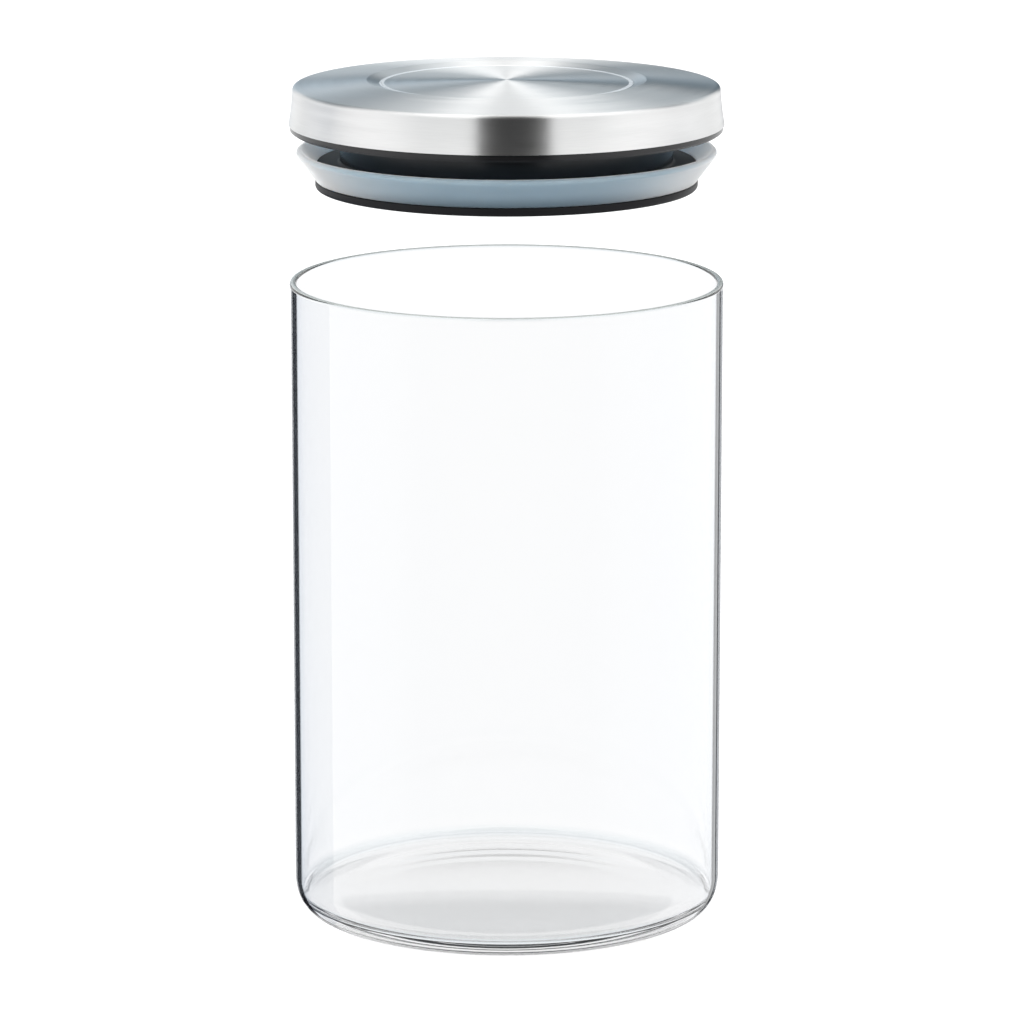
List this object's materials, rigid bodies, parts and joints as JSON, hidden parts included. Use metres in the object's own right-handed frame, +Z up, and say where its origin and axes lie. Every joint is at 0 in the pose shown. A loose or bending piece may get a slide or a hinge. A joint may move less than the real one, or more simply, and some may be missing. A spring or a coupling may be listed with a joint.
{
  "type": "lidded glass canister",
  "caption": "Straight round glass jar with a lift-off lid: brushed steel cap over a black plug with a flared silicone seal, for dry food.",
  "frame": {"origin": "centre of the foot ring that the jar stands on", "axes": "+Z up along the axis of the jar and lid, X and Y level"},
  "size_m": [0.1, 0.1, 0.1945],
  "materials": {
    "glass": "clear, polished, with a faint blue-green tint at the edges",
    "brushed_steel": "fine circular brushing on the top, softly polished side wall",
    "black_plastic": "satin moulded black",
    "silicone": "translucent grey-white, soft sheen"
  },
  "bodies": {
    "jar": {"glass_jar": "glass"},
    "lid": {"steel_cap": "brushed_steel", "plug_body": "black_plastic", "silicone_gasket": "silicone", "base_disc": "black_plastic"}
  },
  "joints": [
    {"name": "lid_lift", "type": "slide", "parent": "jar", "child": "lid", "axis": [0, 0, 1], "range_m": [-0.0345, 0]}
  ]
}
